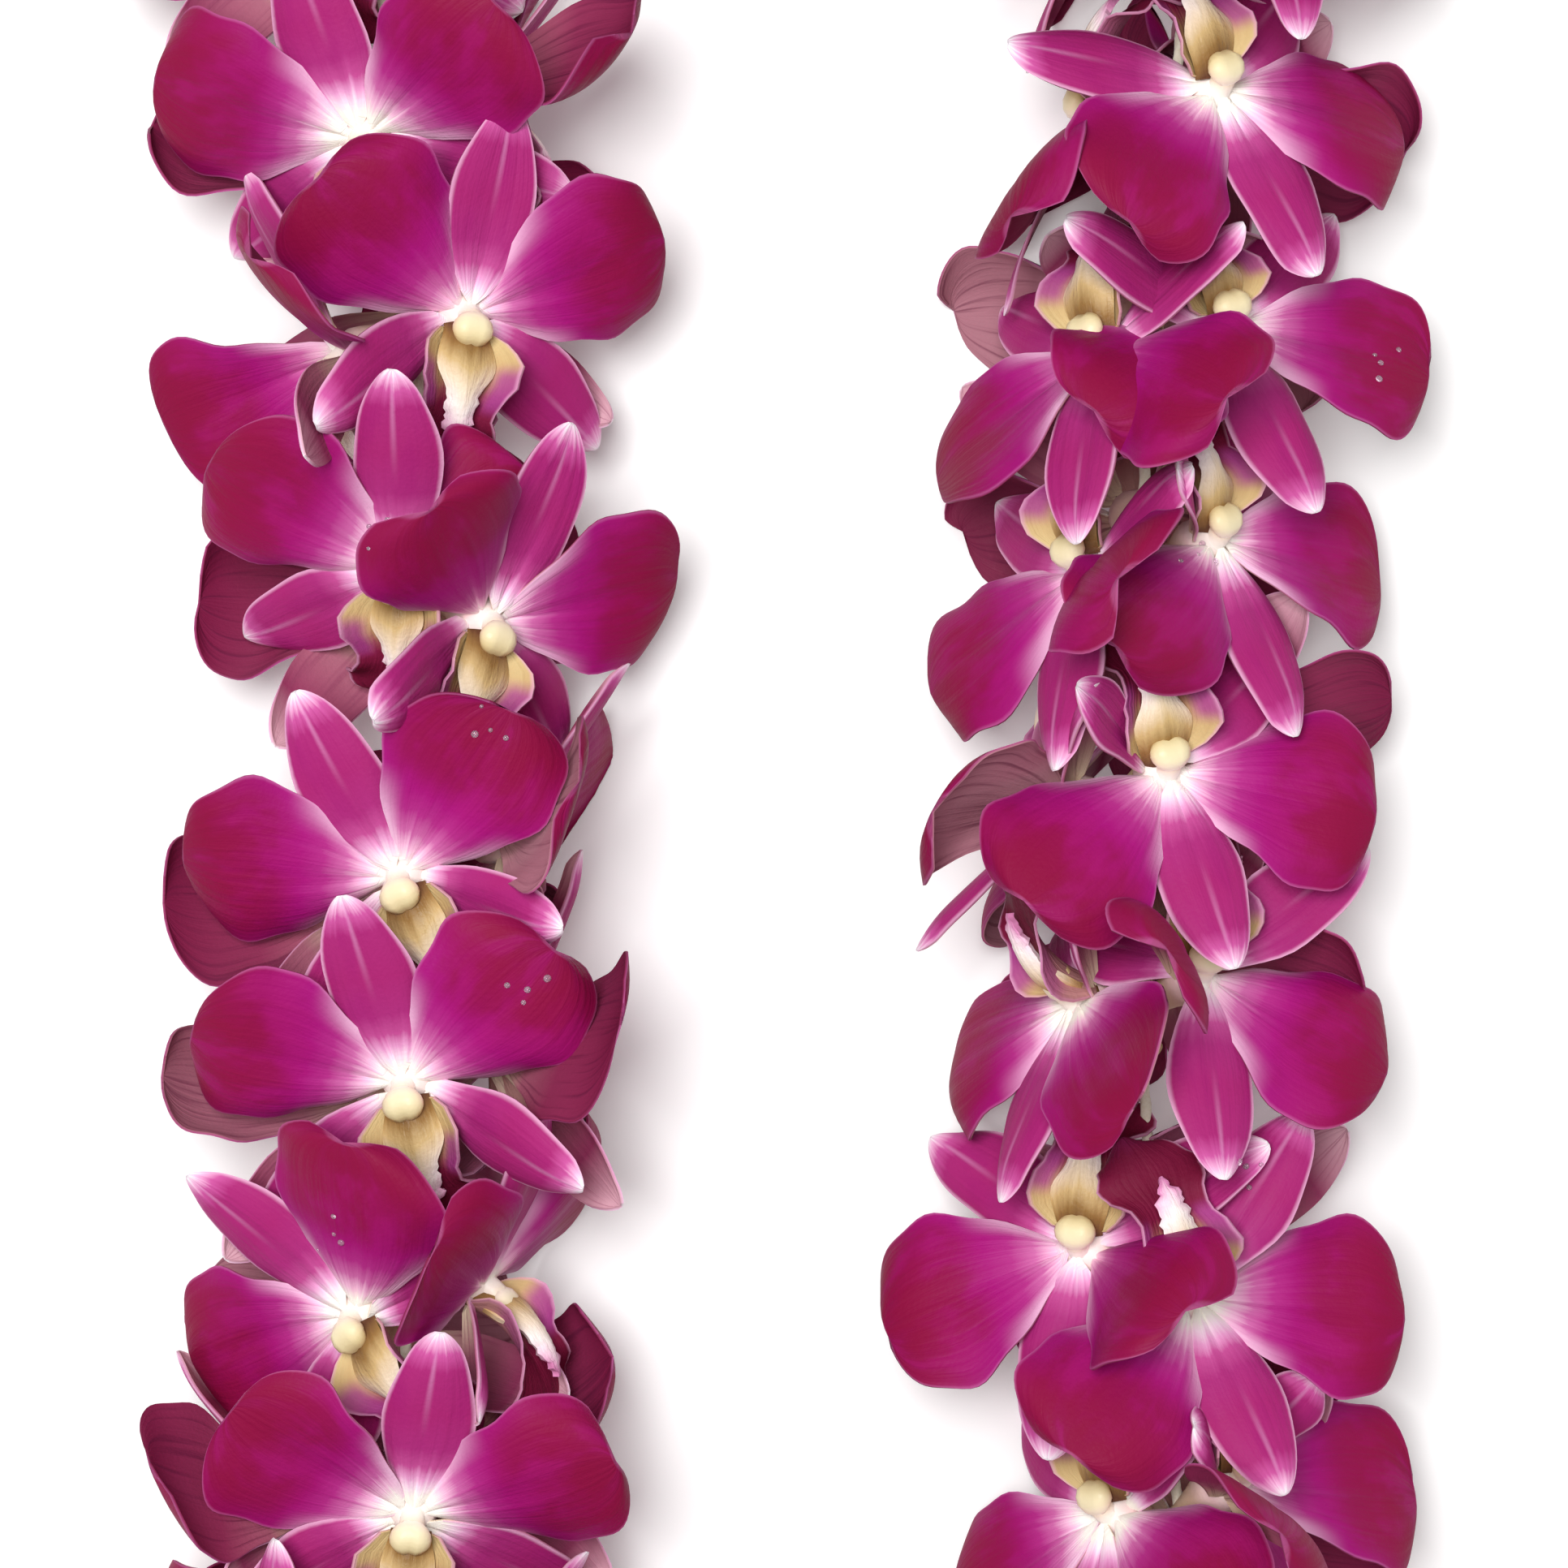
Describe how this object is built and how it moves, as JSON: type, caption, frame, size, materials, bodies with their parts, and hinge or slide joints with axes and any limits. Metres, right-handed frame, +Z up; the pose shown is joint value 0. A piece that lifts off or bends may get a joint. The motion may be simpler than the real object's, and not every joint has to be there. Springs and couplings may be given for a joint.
{
  "type": "flower lei",
  "caption": "Closed garland of magenta orchid blooms strung in whorls on a thread, laid flat in a long loop with a gap down its middle.",
  "frame": {"origin": "middle of the lei's footprint, on the surface that it lies on", "axes": "+Z up, +Y along the loop's long way, +X across its two long sides"},
  "size_m": [0.1886, 0.4604, 0.0608],
  "materials": {
    "petal": "satin, fresh orchid petal, magenta with a pale base and paler edges",
    "thread": "matt twisted cotton"
  },
  "bodies": {
    "root": {"thread": "thread", "blooms_01": "petal", "blooms_02": "petal", "blooms_03": "petal", "blooms_04": "petal", "blooms_05": "petal", "blooms_06": "petal", "blooms_07": "petal", "blooms_08": "petal", "blooms_09": "petal", "blooms_10": "petal", "blooms_11": "petal", "blooms_12": "petal", "blooms_13": "petal", "blooms_14": "petal", "blooms_15": "petal", "blooms_16": "petal", "blooms_17": "petal", "blooms_18": "petal", "blooms_19": "petal", "blooms_20": "petal", "blooms_21": "petal", "blooms_22": "petal", "blooms_23": "petal", "blooms_24": "petal", "blooms_25": "petal", "blooms_26": "petal", "blooms_27": "petal", "blooms_28": "petal"}
  },
  "joints": []
}
